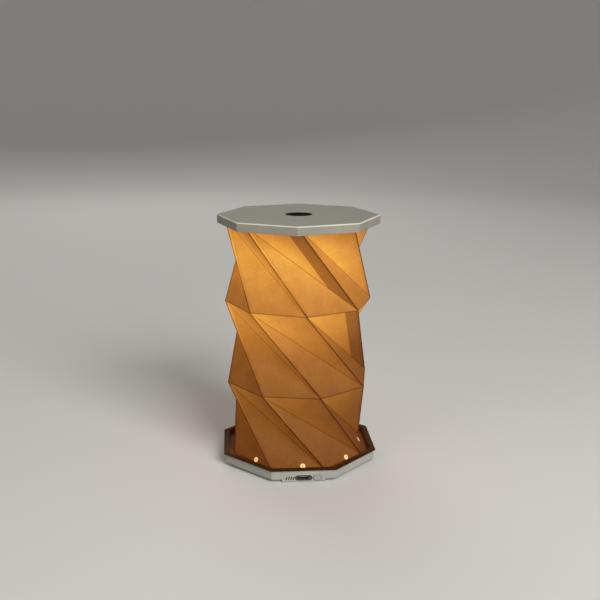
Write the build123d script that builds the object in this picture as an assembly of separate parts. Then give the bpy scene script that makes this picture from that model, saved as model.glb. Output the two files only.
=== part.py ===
from build123d import *

import math
import os

# A rechargeable table lamp. Its shade is a folded paper tube of three twisted storeys between an
# octagonal base and an octagonal lid, and it closes flat when the lid is turned and pressed down.
#
# Millimetres. The origin is on the table under the middle of the base, +Z is up, and the charging
# socket faces -Y. Azimuths are in degrees from -Y towards +X. An octagon's turn is the azimuth of
# one of its corners.

# Sides of the base, the shade and the lid
SIDES = 8
SIDE_ANGLE = 360 / SIDES
HALF_ANGLE = SIDE_ANGLE / 2
TO_CORNER = 1 / math.cos(math.radians(HALF_ANGLE))

# Base and lid across their flat sides
BASE_ACROSS = 121.0
LID_ACROSS = 120.0

# Gaps between pieces
FIT = 0.1
RUNNING_GAP = 0.2
HOLE_GAP = 0.1
PAPER_GAP = 0.25

# Feet and base tray
FOOT_STAND = 1.0
FOOT_DIAMETER = 12.0
FOOT_SOCKET = 0.4
FOOT_EDGE = 0.4
BASE_HEIGHT = 8.8
BASE_WALL = 2.0
BASE_FLOOR = 1.2
BASE_CORNER = 2.0
BASE_LOWER_EDGE = 2.5
BASE_UPPER_EDGE = 0.4

# Screws that come up through the tray into the deck, under the feet
TRAY_SCREW_MARGIN = 9.25
TRAY_SCREW_CIRCLE = BASE_ACROSS - 2 * TRAY_SCREW_MARGIN
TRAY_SCREW_DIAMETER = 2.0
TRAY_SCREW_HEAD = 4.0
TRAY_SCREW_HEAD_HEIGHT = 1.4
TRAY_SCREW_LENGTH = 5.0
TRAY_BOSS_DIAMETER = 7.0
TRAY_BOSS_HEIGHT = 2.2

# Deck: field, stepped border that overhangs the tray, and the channel round the foot of the shade
DECK_PLATE = 1.4
DECK_SINK = 0.5
CHANNEL_SINK = 2.3
CHANNEL_PLATE = 1.0
CHANNEL_WALL = 1.0
CHANNEL_GAP = 0.6
BORDER_OVERHANG = 1.35
BORDER_WIDTH = 4.6
BORDER_HEIGHT = 0.9
BORDER_STEP_WIDTH = 1.5
BORDER_STEP_DROP = 0.35
BORDER_EDGE = 0.25
WELL_DIAMETER = 50.0

# Paper shade, storeys from the foot up. Its corners stand in from the flat sides of base and lid.
PAPER = 0.4
FOOT_TURN = 17.6
FOOT_MARGIN = 4.2
FOOT_RADIUS = BASE_ACROSS / 2 - FOOT_MARGIN
SHADE_MARGIN = 0.7
SHADE_RADIUS = LID_ACROSS / 2 - SHADE_MARGIN
FOOT_STOREY = 59.9
MIDDLE_STOREY = 65.1
TOP_STOREY = 67.4
STOREY_HEIGHTS = (FOOT_STOREY, MIDDLE_STOREY, TOP_STOREY)
STOREY_TWISTS = (49.8, 55.9, 51.7)
COLLAR_WIDTH = 4.9

# Ring inside the foot of the shade, its screws and the eyelets
FOOT_RING_HEIGHT = 4.2
FOOT_RING_WALL = 1.2
FOOT_RING_FLANGE = 1.0
FOOT_RING_BAND = 9.0
FOOT_RING_BORE = 2 * (FOOT_RADIUS / TO_CORNER - FOOT_RING_BAND)
FOOT_SCREW_BAND = 6.5
FOOT_SCREW_CIRCLE = 2 * (FOOT_RADIUS / TO_CORNER - FOOT_SCREW_BAND)
FOOT_SCREW_DIAMETER = 2.0
FOOT_SCREW_HEAD = 3.8
FOOT_SCREW_HEAD_HEIGHT = 1.2
FOOT_SCREW_LENGTH = 3.4
FOOT_BOSS_DIAMETER = 5.5
FOOT_BOSS_HEIGHT = 2.6
EYELET_FLANGE = 4.2
EYELET_FLANGE_HEIGHT = 0.5
EYELET_BARREL = 2.0
EYELET_BORE = 1.0
EYELET_RISE = 2.3
EYELET_ROLL = 0.2

# Light: round board, LEDs, magnet and diffuser
LED_BOARD_DIAMETER = 54.0
LED_BOARD_THICKNESS = 1.0
LED_BOARD_RIM = 1.2
LED_COUNT = 12
LED_CIRCLE = 36.0
LED_SIZE = 2.8
LED_HEIGHT = 0.8
BASE_MAGNET_DIAMETER = 15.0
BASE_MAGNET_HEIGHT = 2.0
DIFFUSER_DIAMETER = LED_BOARD_DIAMETER
DIFFUSER_RIM = 0.7
DIFFUSER_RISE = 3.4
DIFFUSER_WALL = 1.2
DIFFUSER_SPIGOT = 1.0

# Rechargeable cell. It fills the room between the screws of the foot ring.
BATTERY_CLEARANCE = 2.8
BATTERY_ROOM = FOOT_SCREW_CIRCLE / 2 * math.sin(math.radians(SIDE_ANGLE)) - FOOT_SCREW_HEAD / 2
BATTERY_LENGTH = 2 * (BATTERY_ROOM - BATTERY_CLEARANCE)
BATTERY_WIDTH = 36.0
BATTERY_THICKNESS = 3.3
BATTERY_EDGE = 1.2
BATTERY_CENTRE_Y = 11.0
BATTERY_PAD = 0.4
BATTERY_PAD_INSET = 3.0
BATTERY_RIB = 1.2
BATTERY_RIB_HEIGHT = 2.6
BATTERY_RIB_SHARE = 0.6

# Port block at the front of the tray
PORT_BLOCK_WIDTH = 34.0
PORT_BLOCK_PROUD = 0.25
PORT_BLOCK_DROP = 0.5
PORT_BLOCK_DEPTH = 13.0
PORT_BLOCK_TOP_GAP = 2.0
PORT_BLOCK_EDGE = 0.8
PORT_HEIGHT = 2.4
PORT_RECESS_WIDTH = 13.6
PORT_RECESS_HEIGHT = 4.7
PORT_RECESS_DEPTH = 1.1
POCKET_FLOOR = 0.8
POCKET_DEPTH = 2.0

# Charging socket
USB_WIDTH = 8.94
USB_HEIGHT = 3.26
USB_LENGTH = 7.3
USB_WALL = 0.3
TONGUE_WIDTH = 6.7
TONGUE_HEIGHT = 0.7
TONGUE_LENGTH = 5.4

# Dark bezel round the socket, in the recess of the port block
BEZEL_THICKNESS = 0.4

# Push button and the switch behind it
BUTTON_X = 10.7
BUTTON_WIDTH = 6.4
BUTTON_HEIGHT = 4.2
BUTTON_GAP = 0.35
BUTTON_PROUD = 0.5
BUTTON_TRAVEL = 0.5
BUTTON_FLANGE_WIDTH = 8.4
BUTTON_FLANGE = 0.8
BUTTON_EDGE = 0.35
PUSHER_WIDTH = 2.4
PUSHER_HEIGHT = 1.2
PUSHER_LENGTH = 0.65
SWITCH_WIDTH = 4.7
SWITCH_DEPTH = 3.0
SWITCH_HEIGHT = 1.9
PLUNGER_WIDTH = 2.0
PLUNGER_HEIGHT = 1.0
PLUNGER_LENGTH = 0.35

# Charge light: slanted bars through the front
LIGHT_X = -10.6
LIGHT_BARS = 4
LIGHT_BAR_PITCH = 1.9
LIGHT_BAR_WIDTH = 0.8
LIGHT_BAR_LENGTH = 2.8
LIGHT_BAR_SLANT = 25.0
LIGHT_PLATE_WIDTH = 8.4
LIGHT_PLATE_HEIGHT = 3.4
LIGHT_PLATE_THICKNESS = 0.8

# Control board
BOARD_WIDTH = 36.0
BOARD_DEPTH = 21.6
BOARD_THICKNESS = 1.0
BOARD_REST_DIAMETER = 4.0
BOARD_REST_INSET = 4.0
BOARD_NOTCH_GAP = 0.2
BOARD_FRONT_GAP = 1.7
CHIP_HEIGHT = 0.9
CHIP_SIZE = 4.0
SMALL_CHIP_X = -7.0
SMALL_CHIP_SIZE = 3.0
COIL_DIAMETER = 5.0
COIL_HEIGHT = 1.8
PLUG_WIDTH = 5.0
PLUG_DEPTH = 3.2
PLUG_HEIGHT = 2.0
BATTERY_PLUG_X = 8.0
LED_PLUG_X = -8.0
LED_PLUG_INSET = 4.3

# Wires inside the base: where each run of a lead ends, as a share of its way
WIRE_DIAMETER = 1.1
WIRE_PITCH = 1.6
BATTERY_LEAD_GAP = 1.5
BATTERY_LEAD_X = BATTERY_LENGTH / 2 * BATTERY_RIB_SHARE + BATTERY_LEAD_GAP
BATTERY_LEAD_RUNS = (0.25, 0.47, 0.7)
BATTERY_LEAD_SIDE = 0.55
LED_LEAD_RUNS = (0.32, 0.68)

# Lid
LID_HEIGHT = 7.0
LID_PLATE = 1.8
LID_WALL = 1.8
LID_CORNER = 1.5
LID_UPPER_EDGE = 0.8
LID_LOWER_EDGE = 0.4
LID_DISC_DIAMETER = 21.6
LID_DISC_HEIGHT = 2.3
LID_DISC_EDGE = 0.2
LID_BOSS_WALL = 2.1
LID_BOSS_FLOOR = 0.8
LID_RIB = 1.2
LID_RIB_HEIGHT = 1.0

# Ring that holds the upper collar of the paper
CLAMP_THICKNESS = 1.2
CLAMP_BAND = 10.8
CLAMP_BORE = 2 * (SHADE_RADIUS / TO_CORNER - CLAMP_BAND)
CLAMP_SCREWS = 4
CLAMP_SCREW_BAND = 9.2
CLAMP_SCREW_CIRCLE = 2 * (SHADE_RADIUS / TO_CORNER - CLAMP_SCREW_BAND)
CLAMP_SCREW_DIAMETER = 2.0
CLAMP_SCREW_HEAD = 3.8
CLAMP_SCREW_HEAD_HEIGHT = 1.1
CLAMP_SCREW_LENGTH = 2.8
CLAMP_PAD_DIAMETER = 4.4

# The lamp closed: the gap between lid and border, and the whole turns that the lid makes on its way
CLOSED_GAP = 0.6
CLOSING_SIDES = 3

# Heights that follow from these sizes
TRAY_BOTTOM = FOOT_STAND
TRAY_TOP = TRAY_BOTTOM + BASE_HEIGHT
FLOOR_TOP = TRAY_BOTTOM + BASE_FLOOR
BOSS_TOP = FLOOR_TOP + TRAY_BOSS_HEIGHT
FIELD = TRAY_TOP - DECK_SINK
DECK_UNDER = FIELD - DECK_PLATE
CHANNEL = FIELD - CHANNEL_SINK
CHANNEL_UNDER = CHANNEL - CHANNEL_PLATE
BORDER_TOP = TRAY_TOP + BORDER_HEIGHT
CEILING = CHANNEL + sum(STOREY_HEIGHTS)
LID_TOP = CEILING + LID_PLATE
SKIRT_BOTTOM = LID_TOP - LID_HEIGHT
PORT_Z = TRAY_BOTTOM + PORT_HEIGHT
BOARD_BOTTOM = PORT_Z - BOARD_THICKNESS / 2
BOARD_TOP = PORT_Z + BOARD_THICKNESS / 2
LED_BOARD_BOTTOM = DECK_UNDER - LED_BOARD_THICKNESS

# Depths that follow, from the front inwards
FACE_Y = -BASE_ACROSS / 2 - PORT_BLOCK_PROUD
WALL_Y = -BASE_ACROSS / 2 + BASE_WALL
RECESS_Y = FACE_Y + PORT_RECESS_DEPTH
BUTTON_FLANGE_Y = WALL_Y + FIT
PUSHER_END = BUTTON_FLANGE_Y + BUTTON_FLANGE + PUSHER_LENGTH
PLUNGER_Y = PUSHER_END + BUTTON_TRAVEL + FIT
BOARD_Y = WALL_Y + BOARD_FRONT_GAP
BOARD_BACK = BOARD_Y + BOARD_DEPTH
LED_PLUG_Y = LED_PLUG_INSET - LED_BOARD_DIAMETER / 2

# Turns that follow
BASE_TURN = HALF_ANGLE
LID_TURN = FOOT_TURN - sum(STOREY_TWISTS)
LID_LAG = math.floor((BASE_TURN - LID_TURN) / SIDE_ANGLE)
CLOSED_LID_TURN = BASE_TURN - SIDE_ANGLE * (LID_LAG + CLOSING_SIDES)
CLOSING_TURN = CLOSED_LID_TURN - LID_TURN
LID_TRAVEL = SKIRT_BOTTOM - BORDER_TOP - CLOSED_GAP

# Azimuths of the screws
SCREW_AZIMUTHS = [SIDE_ANGLE + 90 * k for k in range(4)]
CLAMP_AZIMUTHS = [LID_TURN + HALF_ANGLE + 360 / CLAMP_SCREWS * k for k in range(CLAMP_SCREWS)]


def spot(radius, azimuth, z):
    """The point at a radius and azimuth round the lamp's axis."""
    angle = math.radians(azimuth)
    return Vector(radius * math.sin(angle), -radius * math.cos(angle), z)


def ring_of_corners(radius, turn, z):
    return [spot(radius, turn + SIDE_ANGLE * k, z) for k in range(SIDES)]


def octagon(across, turn, z):
    return Face(Wire.make_polygon(ring_of_corners(across / 2 * TO_CORNER, turn, z)))


def octagon_prism(across, turn, bottom, top):
    return extrude(octagon(across, turn, bottom), amount=top - bottom, dir=(0, 0, 1))


def octagon_taper(across_bottom, across_top, turn, bottom, top):
    return loft([octagon(across_bottom, turn, bottom), octagon(across_top, turn, top)], ruled=True)


def drum(diameter, bottom, top, centre=(0, 0)):
    return Pos(centre[0], centre[1], (bottom + top) / 2) * Cylinder(diameter / 2, top - bottom)


def block(x, y, z):
    """A box from its lowest and highest x, y and z."""
    middle = [(low + high) / 2 for low, high in (x, y, z)]
    return Pos(*middle) * Box(x[1] - x[0], y[1] - y[0], z[1] - z[0])


def front_plane(x, y, z):
    """A sketch plane that faces the back of the lamp, for shapes cut or raised along +Y."""
    return Plane(origin=(x, y, z), x_dir=(1, 0, 0), z_dir=(0, 1, 0))


def front_bar(shape, x, y, z):
    """A flat shape in the front view, drawn out from the first y to the second."""
    return extrude(front_plane(x, y[0], z) * shape, amount=y[1] - y[0])


def screw(diameter, head, head_height, length, foot, centre):
    """A pan-head screw that points up: foot is the underside of its head, length its whole height."""
    body = drum(diameter, foot, foot + length, centre) + drum(head, foot, foot + head_height, centre)
    bottom_rim = body.edges().filter_by(GeomType.CIRCLE).sort_by(Axis.Z)[0]
    body = chamfer(bottom_rim, head_height / 4)
    slot = block(
        (centre[0] - head / 2, centre[0] + head / 2),
        (centre[1] - head / 12, centre[1] + head / 12),
        (foot, foot + head_height / 3),
    )
    return body - slot


def screw_spots(circle, azimuths):
    return [tuple(spot(circle / 2, azimuth, 0))[:2] for azimuth in azimuths]


TRAY_SCREW_SPOTS = screw_spots(TRAY_SCREW_CIRCLE, SCREW_AZIMUTHS)
FOOT_SCREW_SPOTS = screw_spots(FOOT_SCREW_CIRCLE, SCREW_AZIMUTHS)
CLAMP_SCREW_SPOTS = screw_spots(CLAMP_SCREW_CIRCLE, CLAMP_AZIMUTHS)


# Folded shade

def level_folds():
    """The radius, turn and height of the four level folds, foot first."""
    radii = (FOOT_RADIUS,) + (SHADE_RADIUS,) * len(STOREY_HEIGHTS)
    turns = [FOOT_TURN - sum(STOREY_TWISTS[:k]) for k in range(len(radii))]
    heights = [CHANNEL + sum(STOREY_HEIGHTS[:k]) for k in range(len(radii))]
    return list(zip(radii, turns, heights))


def storey_inside(low_fold, high_fold):
    """The inner faces of one storey. Its corners are drawn in and turned a little, which keeps the
    sheet about as thick on the facets that hang from the upper fold as on those that stand on the
    lower one."""
    (low_radius, low_turn, low_z), (high_radius, high_turn, high_z) = low_fold, high_fold
    twist = low_turn - high_turn
    lean = facet_lean(low_radius, high_radius, twist, high_z - low_z)
    level = leaning(PAPER, lean)
    drawn_in = level * TO_CORNER
    tip = math.radians(twist + HALF_ANGLE)
    aside = (level - drawn_in * math.cos(tip)) / math.sin(tip)
    low_shift = math.degrees(aside / low_radius)
    high_shift = math.degrees(aside / high_radius)
    low = ring_of_corners(low_radius - drawn_in, low_turn + low_shift, low_z)
    high = ring_of_corners(high_radius - drawn_in, high_turn - high_shift, high_z)
    return folded_body([low, high])


def folded_body(rings):
    """The solid inside the folded sheet: each storey is sixteen triangles.

    The short ridge fold joins corner k of a ring to corner k of the ring above, and the long valley
    fold joins it to the corner before.
    """
    faces = [Face(Wire.make_polygon(rings[0])), Face(Wire.make_polygon(rings[-1]))]
    for low, high in zip(rings, rings[1:]):
        for k in range(SIDES):
            after = (k + 1) % SIDES
            faces.append(Face(Wire.make_polygon([low[k], low[after], high[k]])))
            faces.append(Face(Wire.make_polygon([high[k], high[after], low[after]])))
    return Solid(Shell(faces))


def facet_lean(edge_radius, tip_radius, twist, height):
    """How far the triangle on a level fold leans inwards from upright, in degrees."""
    tip = tip_radius * math.cos(math.radians(twist + HALF_ANGLE))
    return math.degrees(math.atan((edge_radius / TO_CORNER - tip) / height))


def leaning(length, lean):
    """The level width of a wall that is length thick and leans by lean."""
    return length / math.cos(math.radians(lean))


FOOT_LEAN = facet_lean(FOOT_RADIUS, SHADE_RADIUS, STOREY_TWISTS[0], STOREY_HEIGHTS[0])
TOP_LEAN = facet_lean(SHADE_RADIUS, SHADE_RADIUS, STOREY_TWISTS[-1], STOREY_HEIGHTS[-1])
EYELET_REACH = PAPER + PAPER_GAP + FOOT_RING_WALL + EYELET_ROLL


def foot_room(rise):
    """The width left for the foot ring inside the paper, at a height above the channel."""
    drawn_in = rise * math.tan(math.radians(FOOT_LEAN)) + leaning(PAPER + PAPER_GAP, FOOT_LEAN)
    return 2 * (FOOT_RADIUS / TO_CORNER - drawn_in)


def eyelet_planes():
    """Where the eyelets sit on the outer face of the paper, in line with the middles of the base's
    sides. Their z axis points out of the paper."""
    lean = math.radians(FOOT_LEAN)
    side_turn = FOOT_TURN - HALF_ANGLE
    reach = FOOT_RADIUS / TO_CORNER - EYELET_RISE * math.sin(lean)
    aside = reach * math.tan(math.radians(-side_turn))
    planes = []
    for k in range(SIDES):
        azimuth = side_turn + SIDE_ANGLE * k
        outwards = spot(1, azimuth, 0)
        along = spot(1, azimuth + 90, 0)
        middle = outwards * reach + along * aside
        origin = middle + Vector(0, 0, CHANNEL + EYELET_RISE * math.cos(lean))
        axis = outwards * math.cos(lean) + Vector(0, 0, math.sin(lean))
        planes.append(Plane(origin=origin, x_dir=along, z_dir=axis))
    return planes


def eyelet_holes():
    depth = EYELET_REACH + FIT
    drill = Pos(0, 0, -depth / 2) * Cylinder(EYELET_BARREL / 2 + HOLE_GAP, depth + 2 * FIT)
    return [plane * drill for plane in eyelet_planes()]


def paper_shade():
    """The folded sheet, with a flat collar turned inwards at each end."""
    folds = level_folds()
    shade = folded_body([ring_of_corners(*fold) for fold in folds])
    wide = (-BASE_ACROSS, BASE_ACROSS)
    between_collars = block(wide, wide, (CHANNEL + PAPER, CEILING - PAPER))
    for low_fold, high_fold in zip(folds, folds[1:]):
        shade -= storey_inside(low_fold, high_fold) & between_collars
    foot_bore = 2 * (FOOT_RADIUS / TO_CORNER - COLLAR_WIDTH)
    top_bore = 2 * (SHADE_RADIUS / TO_CORNER - COLLAR_WIDTH)
    shade -= octagon_prism(foot_bore, FOOT_TURN, CHANNEL, CHANNEL + PAPER)
    shade -= octagon_prism(top_bore, LID_TURN, CEILING - PAPER, CEILING)
    for hole in eyelet_holes():
        shade -= hole
    return shade


# Base

def port_block():
    """The block round the socket and button. It stands a little proud of the side of the tray and
    hangs a little below it, because the socket is nearly as deep as the tray."""
    half = PORT_BLOCK_WIDTH / 2
    bottom = TRAY_BOTTOM - PORT_BLOCK_DROP
    back = FACE_Y + PORT_BLOCK_DEPTH
    sole = block((-half, half), (FACE_Y, back), (bottom, FLOOR_TOP))
    face = block((-half, half), (FACE_Y, WALL_Y), (bottom, TRAY_TOP - PORT_BLOCK_TOP_GAP))
    body = sole + face
    outer = [e for e in body.edges() if e.center().Y < FACE_Y + FIT]
    return fillet(outer, min(PORT_BLOCK_EDGE, PORT_BLOCK_PROUD * 0.9))


def light_bars(width, length, y):
    """The slanted bars of the charge light, or the slots that they fill."""
    bars = []
    for k in range(LIGHT_BARS):
        x = LIGHT_X + LIGHT_BAR_PITCH * (k - (LIGHT_BARS - 1) / 2)
        shape = Rot(0, 0, 90 + LIGHT_BAR_SLANT) * SlotOverall(length, width)
        bars.append(front_bar(shape, x, y, PORT_Z))
    return bars


def battery_ribs():
    """Four low walls round the cell."""
    half_x = BATTERY_LENGTH / 2 + RUNNING_GAP
    half_y = BATTERY_WIDTH / 2 + RUNNING_GAP
    z = (FLOOR_TOP, FLOOR_TOP + BATTERY_RIB_HEIGHT)
    long_half = BATTERY_LENGTH / 2 * BATTERY_RIB_SHARE
    short_half = BATTERY_WIDTH / 2 * BATTERY_RIB_SHARE
    ribs = []
    for side in (-1, 1):
        across = sorted((side * half_x, side * (half_x + BATTERY_RIB)))
        y = (BATTERY_CENTRE_Y - short_half, BATTERY_CENTRE_Y + short_half)
        ribs.append(block(tuple(across), y, z))
        along = sorted((side * half_y, side * (half_y + BATTERY_RIB)))
        y = (BATTERY_CENTRE_Y + along[0], BATTERY_CENTRE_Y + along[1])
        ribs.append(block((-long_half, long_half), y, z))
    return ribs


def board_rest_spots():
    x = BOARD_WIDTH / 2 - BOARD_REST_INSET
    near, far = BOARD_Y + BOARD_REST_INSET, BOARD_BACK - BOARD_REST_INSET
    return [(-x, near), (x, near), (-x, far), (x, far)]


def base_tray():
    tray = octagon_prism(BASE_ACROSS, BASE_TURN, TRAY_BOTTOM, TRAY_TOP)
    tray = fillet(tray.edges().filter_by(Axis.Z), BASE_CORNER)
    tray = fillet(tray.faces().sort_by(Axis.Z)[0].edges(), BASE_LOWER_EDGE)
    tray = chamfer(tray.faces().sort_by(Axis.Z)[-1].edges(), BASE_UPPER_EDGE)
    tray += port_block()
    tray -= octagon_prism(BASE_ACROSS - 2 * BASE_WALL, BASE_TURN, FLOOR_TOP, TRAY_TOP)
    for centre in TRAY_SCREW_SPOTS:
        tray += drum(TRAY_BOSS_DIAMETER, FLOOR_TOP, BOSS_TOP, centre)
    for rib in battery_ribs():
        tray += rib
    for centre in board_rest_spots():
        tray += drum(BOARD_REST_DIAMETER, FLOOR_TOP, BOARD_BOTTOM, centre)

    socket_top = TRAY_BOTTOM + FOOT_SOCKET
    head_top = socket_top + TRAY_SCREW_HEAD_HEIGHT
    for centre in TRAY_SCREW_SPOTS:
        tray -= drum(FOOT_DIAMETER + 2 * HOLE_GAP, TRAY_BOTTOM, socket_top, centre)
        tray -= drum(TRAY_SCREW_HEAD + 2 * HOLE_GAP, socket_top, head_top, centre)
        tray -= drum(TRAY_SCREW_DIAMETER + 2 * HOLE_GAP, head_top, BOSS_TOP, centre)

    pocket = (TRAY_BOTTOM - PORT_BLOCK_DROP + POCKET_FLOOR, FLOOR_TOP)
    pocket_x = (
        LIGHT_X - LIGHT_PLATE_WIDTH / 2 - RUNNING_GAP,
        BUTTON_X + BUTTON_FLANGE_WIDTH / 2 + RUNNING_GAP,
    )
    tray -= block(pocket_x, (WALL_Y, WALL_Y + POCKET_DEPTH), pocket)
    half_usb = USB_WIDTH / 2 + RUNNING_GAP
    usb_back = RECESS_Y + USB_LENGTH + RUNNING_GAP
    tray -= block((-half_usb, half_usb), (WALL_Y, usb_back), pocket)

    through = (FACE_Y, WALL_Y)
    tray -= front_bar(
        SlotOverall(PORT_RECESS_WIDTH, PORT_RECESS_HEIGHT), 0, (FACE_Y, RECESS_Y), PORT_Z
    )
    usb_hole = SlotOverall(USB_WIDTH + 2 * HOLE_GAP, USB_HEIGHT + 2 * HOLE_GAP)
    tray -= front_bar(usb_hole, 0, through, PORT_Z)
    button_hole = SlotOverall(BUTTON_WIDTH + 2 * BUTTON_GAP, BUTTON_HEIGHT + 2 * BUTTON_GAP)
    tray -= front_bar(button_hole, BUTTON_X, through, PORT_Z)
    for slot in light_bars(
        LIGHT_BAR_WIDTH + 2 * HOLE_GAP, LIGHT_BAR_LENGTH + 2 * HOLE_GAP, through
    ):
        tray -= slot
    return tray


def rubber_feet():
    feet = []
    for centre in TRAY_SCREW_SPOTS:
        foot = drum(FOOT_DIAMETER, 0, TRAY_BOTTOM + FOOT_SOCKET, centre)
        rim = foot.edges().filter_by(GeomType.CIRCLE).sort_by(Axis.Z)[0]
        feet.append(fillet(rim, FOOT_EDGE))
    return feet


def tray_screws():
    head_foot = TRAY_BOTTOM + FOOT_SOCKET
    return [
        screw(
            TRAY_SCREW_DIAMETER,
            TRAY_SCREW_HEAD,
            TRAY_SCREW_HEAD_HEIGHT,
            TRAY_SCREW_LENGTH,
            head_foot,
            centre,
        )
        for centre in TRAY_SCREW_SPOTS
    ]


def deck_plate():
    """The dark top of the base. The foot of the shade stands in a channel between field and border."""
    border_across = BASE_ACROSS + 2 * BORDER_OVERHANG
    border_inside = border_across - 2 * BORDER_WIDTH
    step_across = border_across - 2 * BORDER_STEP_WIDTH
    step_z = BORDER_TOP - BORDER_STEP_DROP
    border = octagon_prism(border_across, BASE_TURN, TRAY_TOP, step_z)
    border += octagon_prism(step_across, BASE_TURN, step_z, BORDER_TOP)
    border -= octagon_prism(border_inside, BASE_TURN, TRAY_TOP, BORDER_TOP)
    border = chamfer(border.faces().sort_by(Axis.Z)[-1].edges(), BORDER_EDGE)

    field_outside = FOOT_RING_BORE - 2 * CHANNEL_GAP
    plug_across = BASE_ACROSS - 2 * BASE_WALL - 2 * FIT
    deck = octagon_prism(plug_across, BASE_TURN, CHANNEL_UNDER, TRAY_TOP)
    deck -= octagon_prism(border_inside, BASE_TURN, CHANNEL, TRAY_TOP)
    deck += drum(field_outside, CHANNEL_UNDER, FIELD)
    deck -= drum(field_outside - 2 * CHANNEL_WALL, CHANNEL_UNDER, DECK_UNDER)
    deck += border

    screw_tip = TRAY_BOTTOM + FOOT_SOCKET + TRAY_SCREW_LENGTH
    for centre in TRAY_SCREW_SPOTS:
        deck += drum(TRAY_BOSS_DIAMETER, BOSS_TOP, CHANNEL_UNDER, centre)
        deck -= drum(TRAY_SCREW_DIAMETER + 2 * HOLE_GAP, BOSS_TOP, screw_tip + FIT, centre)
    for centre in FOOT_SCREW_SPOTS:
        deck -= drum(FOOT_SCREW_DIAMETER + 2 * HOLE_GAP, CHANNEL_UNDER, CHANNEL, centre)
    rim_outside = LED_BOARD_DIAMETER + 2 * FIT + 2 * LED_BOARD_RIM
    deck += drum(rim_outside, LED_BOARD_BOTTOM, DECK_UNDER)
    deck -= drum(LED_BOARD_DIAMETER + 2 * FIT, LED_BOARD_BOTTOM, DECK_UNDER)
    return deck - drum(WELL_DIAMETER, DECK_UNDER, FIELD)


def shade_foot_ring():
    """The ring lies on the lower collar of the paper, and its wall follows the leaning facets."""
    bottom = CHANNEL + PAPER
    flange_top = bottom + FOOT_RING_FLANGE
    top = CHANNEL + FOOT_RING_HEIGHT
    wall = 2 * leaning(FOOT_RING_WALL, FOOT_LEAN)
    low, high = foot_room(PAPER), foot_room(FOOT_RING_HEIGHT)
    flange_in = foot_room(PAPER + FOOT_RING_FLANGE) - wall
    ring = octagon_taper(low, high, FOOT_TURN, bottom, top)
    ring -= octagon_taper(flange_in, high - wall, FOOT_TURN, flange_top, top)
    for centre in FOOT_SCREW_SPOTS:
        ring += drum(FOOT_BOSS_DIAMETER, bottom, bottom + FOOT_BOSS_HEIGHT, centre)
    ring -= octagon_prism(FOOT_RING_BORE, FOOT_TURN, bottom, flange_top)
    screw_tip = CHANNEL_UNDER + FOOT_SCREW_LENGTH
    for centre in FOOT_SCREW_SPOTS:
        ring -= drum(FOOT_SCREW_DIAMETER + 2 * HOLE_GAP, bottom, screw_tip + FIT, centre)
    for hole in eyelet_holes():
        ring -= hole
    return ring


def foot_ring_screws():
    head_foot = CHANNEL_UNDER - FOOT_SCREW_HEAD_HEIGHT
    length = FOOT_SCREW_LENGTH + FOOT_SCREW_HEAD_HEIGHT
    return [
        screw(
            FOOT_SCREW_DIAMETER, FOOT_SCREW_HEAD, FOOT_SCREW_HEAD_HEIGHT, length, head_foot, centre
        )
        for centre in FOOT_SCREW_SPOTS
    ]


def shade_eyelets():
    """Tube rivets: a domed flange on the paper, and a barrel through paper and ring."""
    flange = Cylinder(EYELET_FLANGE / 2, EYELET_FLANGE_HEIGHT)
    flange = Pos(0, 0, EYELET_FLANGE_HEIGHT / 2) * flange
    outer_rim = flange.edges().filter_by(GeomType.CIRCLE).sort_by(Axis.Z)[-1]
    flange = fillet(outer_rim, EYELET_FLANGE_HEIGHT * 0.8)
    barrel = Pos(0, 0, -EYELET_REACH / 2) * Cylinder(EYELET_BARREL / 2, EYELET_REACH)
    bore = Pos(0, 0, -EYELET_REACH / 2) * Cylinder(EYELET_BORE / 2, 2 * EYELET_REACH)
    eyelet = flange + barrel - bore
    return [plane * eyelet for plane in eyelet_planes()]


# Light

def led_board():
    """A round board against the underside of the deck, with the plug of its leads below it."""
    plug = block(
        (LED_PLUG_X - PLUG_WIDTH / 2, LED_PLUG_X + PLUG_WIDTH / 2),
        (LED_PLUG_Y, LED_PLUG_Y + PLUG_DEPTH),
        (LED_BOARD_BOTTOM - PLUG_HEIGHT, LED_BOARD_BOTTOM),
    )
    return drum(LED_BOARD_DIAMETER, LED_BOARD_BOTTOM, DECK_UNDER) + plug


def led_chips():
    chip = Pos(0, 0, DECK_UNDER + LED_HEIGHT / 2) * Box(LED_SIZE, LED_SIZE, LED_HEIGHT)
    chips = []
    for k in range(LED_COUNT):
        chips.append(Rot(0, 0, 360 / LED_COUNT * k) * Pos(LED_CIRCLE / 2, 0, 0) * chip)
    return chips


def base_magnet():
    magnet = drum(BASE_MAGNET_DIAMETER, DECK_UNDER, DECK_UNDER + BASE_MAGNET_HEIGHT)
    return chamfer(magnet.edges().filter_by(GeomType.CIRCLE), LID_DISC_EDGE)


def dome_arc(reach, low, top):
    """Half the section of a round dome, from its edge to its crown on the axis."""
    rise = top - low
    radius = (reach**2 + rise**2) / (2 * rise)
    half = math.asin(reach / radius) / 2
    middle = (radius * math.sin(half), top - radius * (1 - math.cos(half)))
    return ThreePointArc((reach, low), middle, (0, top))


def diffuser():
    """A low frosted dome that stands on the deck, with a spigot into the well."""
    rim = DIFFUSER_DIAMETER / 2
    spigot = WELL_DIAMETER / 2 - FIT
    inner = spigot - DIFFUSER_WALL
    top = FIELD + DIFFUSER_RISE
    inner_top = top - DIFFUSER_WALL
    rim_top = FIELD + DIFFUSER_RIM
    foot = FIELD - DIFFUSER_SPIGOT
    foot_line = Polyline(
        (inner, FIELD), (inner, foot), (spigot, foot), (spigot, FIELD), (rim, FIELD), (rim, rim_top)
    )
    outline = dome_arc(rim, rim_top, top) + Line((0, top), (0, inner_top))
    outline += dome_arc(inner, FIELD, inner_top) + foot_line
    return revolve(Plane.XZ * make_face(outline), axis=Axis.Z)


# Electrics

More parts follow.
